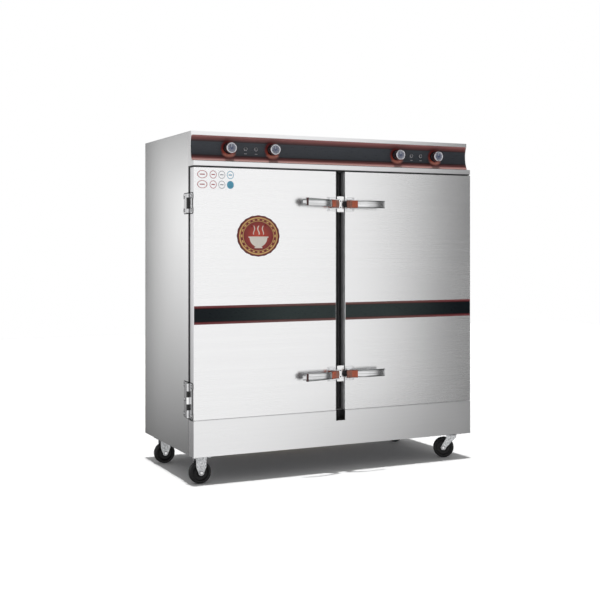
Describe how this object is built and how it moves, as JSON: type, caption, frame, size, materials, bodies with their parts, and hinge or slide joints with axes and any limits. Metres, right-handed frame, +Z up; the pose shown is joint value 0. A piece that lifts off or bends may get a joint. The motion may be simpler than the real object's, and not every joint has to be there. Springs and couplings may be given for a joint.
{
  "type": "rice steamer cabinet",
  "caption": "Wide stainless steaming cabinet on casters: insulated doors with gaskets and lever latches, tray racks over heated water sumps, and a control fascia with knobs and lamps.",
  "frame": {"origin": "on the floor, under the middle of the whole object's box", "axes": "+Z up; the doors face -Y; +X is to the right of someone who faces the doors"},
  "size_m": [1.426, 0.777, 1.506],
  "materials": {
    "casing": "satin",
    "liner": "satin",
    "hardware": "polished",
    "keeper": "satin",
    "galvanised": "satin",
    "wheel": "matte",
    "gasket": "matte",
    "knob": "gloss",
    "lamp": "gloss",
    "heater": "satin",
    "brass": "satin",
    "lever_grip": "matte"
  },
  "bodies": {
    "cabinet": {"base_pan": "casing", "side_panel_left": "casing", "side_panel_right": "casing", "rear_top_sheet": "casing", "front_frame": "casing", "apron": "casing", "control_fascia": "casing", "chamber_liner_left": "liner", "chamber_liner_right": "liner", "tray_rack_left": "liner", "tray_rack_right": "liner", "heater_left": "heater", "heater_right": "heater", "sump_cover_left": "liner", "sump_cover_right": "liner", "feed_tank": "liner", "drain_pipe": "brass", "keeper_upper": "keeper", "keeper_lower": "keeper", "lamp_left_outer": "lamp", "lamp_left_inner": "lamp", "lamp_right_inner": "lamp", "lamp_right_outer": "lamp", "hinge_body_leaf_upper_left": "hardware", "hinge_body_leaf_lower_left": "hardware", "hinge_body_leaf_upper_right": "hardware", "hinge_body_leaf_lower_right": "hardware", "caster_fork_left_front": "galvanised", "caster_fork_left_rear": "galvanised", "caster_plate_right_front": "galvanised", "caster_plate_right_rear": "galvanised"},
    "door_left": {"door_skin_left": "casing", "door_liner_left": "liner", "door_gasket_left": "gasket", "hinge_door_leaf_upper_left": "hardware", "hinge_door_leaf_lower_left": "hardware", "latch_base_upper_left": "hardware", "latch_base_lower_left": "hardware"},
    "door_right": {"door_skin_right": "casing", "door_liner_right": "liner", "door_gasket_right": "gasket", "hinge_door_leaf_upper_right": "hardware", "hinge_door_leaf_lower_right": "hardware", "latch_base_upper_right": "hardware", "latch_base_lower_right": "hardware"},
    "lever_upper_left": {"latch_lever_upper_left": "hardware"},
    "lever_lower_left": {"latch_lever_lower_left": "hardware"},
    "lever_upper_right": {"latch_lever_upper_right": "hardware"},
    "lever_lower_right": {"latch_lever_lower_right": "hardware"},
    "knob_left_outer": {"knob_left_outer": "knob"},
    "knob_left_inner": {"knob_left_inner": "knob"},
    "knob_right_inner": {"knob_right_inner": "knob"},
    "knob_right_outer": {"knob_right_outer": "knob"},
    "drain_lever": {"drain_lever": "lever_grip"},
    "swivel_front": {"caster_fork_right_front": "galvanised"},
    "swivel_rear": {"caster_fork_right_rear": "galvanised"},
    "wheel_left_front": {"caster_wheel_left_front": "wheel"},
    "wheel_left_rear": {"caster_wheel_left_rear": "wheel"},
    "wheel_right_front": {"caster_wheel_right_front": "wheel"},
    "wheel_right_rear": {"caster_wheel_right_rear": "wheel"}
  },
  "joints": [
    {"name": "door_left_hinge", "type": "hinge", "parent": "cabinet", "child": "door_left", "pos_m": [-0.706, -0.2835, 0.8], "axis": [0, 0, -1], "range_deg": [0, 180]},
    {"name": "door_right_hinge", "type": "hinge", "parent": "cabinet", "child": "door_right", "pos_m": [0.706, -0.2835, 0.8], "axis": [0, 0, 1], "range_deg": [0, 180]},
    {"name": "lever_upper_left_turn", "type": "hinge", "parent": "door_left", "child": "lever_upper_left", "pos_m": [-0.027, -0.3605, 1.203], "axis": [0, 0, 1], "range_deg": [0, 60]},
    {"name": "lever_lower_left_turn", "type": "hinge", "parent": "door_left", "child": "lever_lower_left", "pos_m": [-0.027, -0.3605, 0.441], "axis": [0, 0, 1], "range_deg": [0, 60]},
    {"name": "lever_upper_right_turn", "type": "hinge", "parent": "door_right", "child": "lever_upper_right", "pos_m": [0.027, -0.3605, 1.203], "axis": [0, 0, -1], "range_deg": [0, 60]},
    {"name": "lever_lower_right_turn", "type": "hinge", "parent": "door_right", "child": "lever_lower_right", "pos_m": [0.027, -0.3605, 0.441], "axis": [0, 0, -1], "range_deg": [0, 60]},
    {"name": "knob_left_outer_turn", "type": "hinge", "parent": "cabinet", "child": "knob_left_outer", "pos_m": [-0.525, -0.2965, 1.438], "axis": [0, 1, 0], "range_deg": [0, 300]},
    {"name": "knob_left_inner_turn", "type": "hinge", "parent": "cabinet", "child": "knob_left_inner", "pos_m": [-0.318, -0.2965, 1.438], "axis": [0, 1, 0], "range_deg": [0, 300]},
    {"name": "knob_right_inner_turn", "type": "hinge", "parent": "cabinet", "child": "knob_right_inner", "pos_m": [0.318, -0.2965, 1.438], "axis": [0, 1, 0], "range_deg": [0, 300]},
    {"name": "knob_right_outer_turn", "type": "hinge", "parent": "cabinet", "child": "knob_right_outer", "pos_m": [0.525, -0.2965, 1.438], "axis": [0, 1, 0], "range_deg": [0, 300]},
    {"name": "drain_lever_turn", "type": "hinge", "parent": "cabinet", "child": "drain_lever", "pos_m": [0, 0.3185, 0.1063], "axis": [0, 0, 1], "range_deg": [0, 90]},
    {"name": "swivel_front_turn", "type": "hinge", "parent": "cabinet", "child": "swivel_front", "pos_m": [0.63, -0.2785, 0.1114], "axis": [0, 0, 1], "continuous": true},
    {"name": "swivel_rear_turn", "type": "hinge", "parent": "cabinet", "child": "swivel_rear", "pos_m": [0.63, 0.1875, 0.1114], "axis": [0, 0, 1], "continuous": true},
    {"name": "wheel_left_front_spin", "type": "hinge", "parent": "cabinet", "child": "wheel_left_front", "pos_m": [-0.656, -0.2915, 0.049], "axis": [0, 1, 0], "continuous": true},
    {"name": "wheel_left_rear_spin", "type": "hinge", "parent": "cabinet", "child": "wheel_left_rear", "pos_m": [-0.656, 0.1875, 0.049], "axis": [0, 1, 0], "continuous": true},
    {"name": "wheel_right_front_spin", "type": "hinge", "parent": "swivel_front", "child": "wheel_right_front", "pos_m": [0.59897, -0.25835, 0.049], "axis": [-0.5446, -0.8387, 0], "continuous": true},
    {"name": "wheel_right_rear_spin", "type": "hinge", "parent": "swivel_rear", "child": "wheel_right_rear", "pos_m": [0.59336, 0.19265, 0.049], "axis": [-0.1392, -0.9903, 0], "continuous": true}
  ]
}
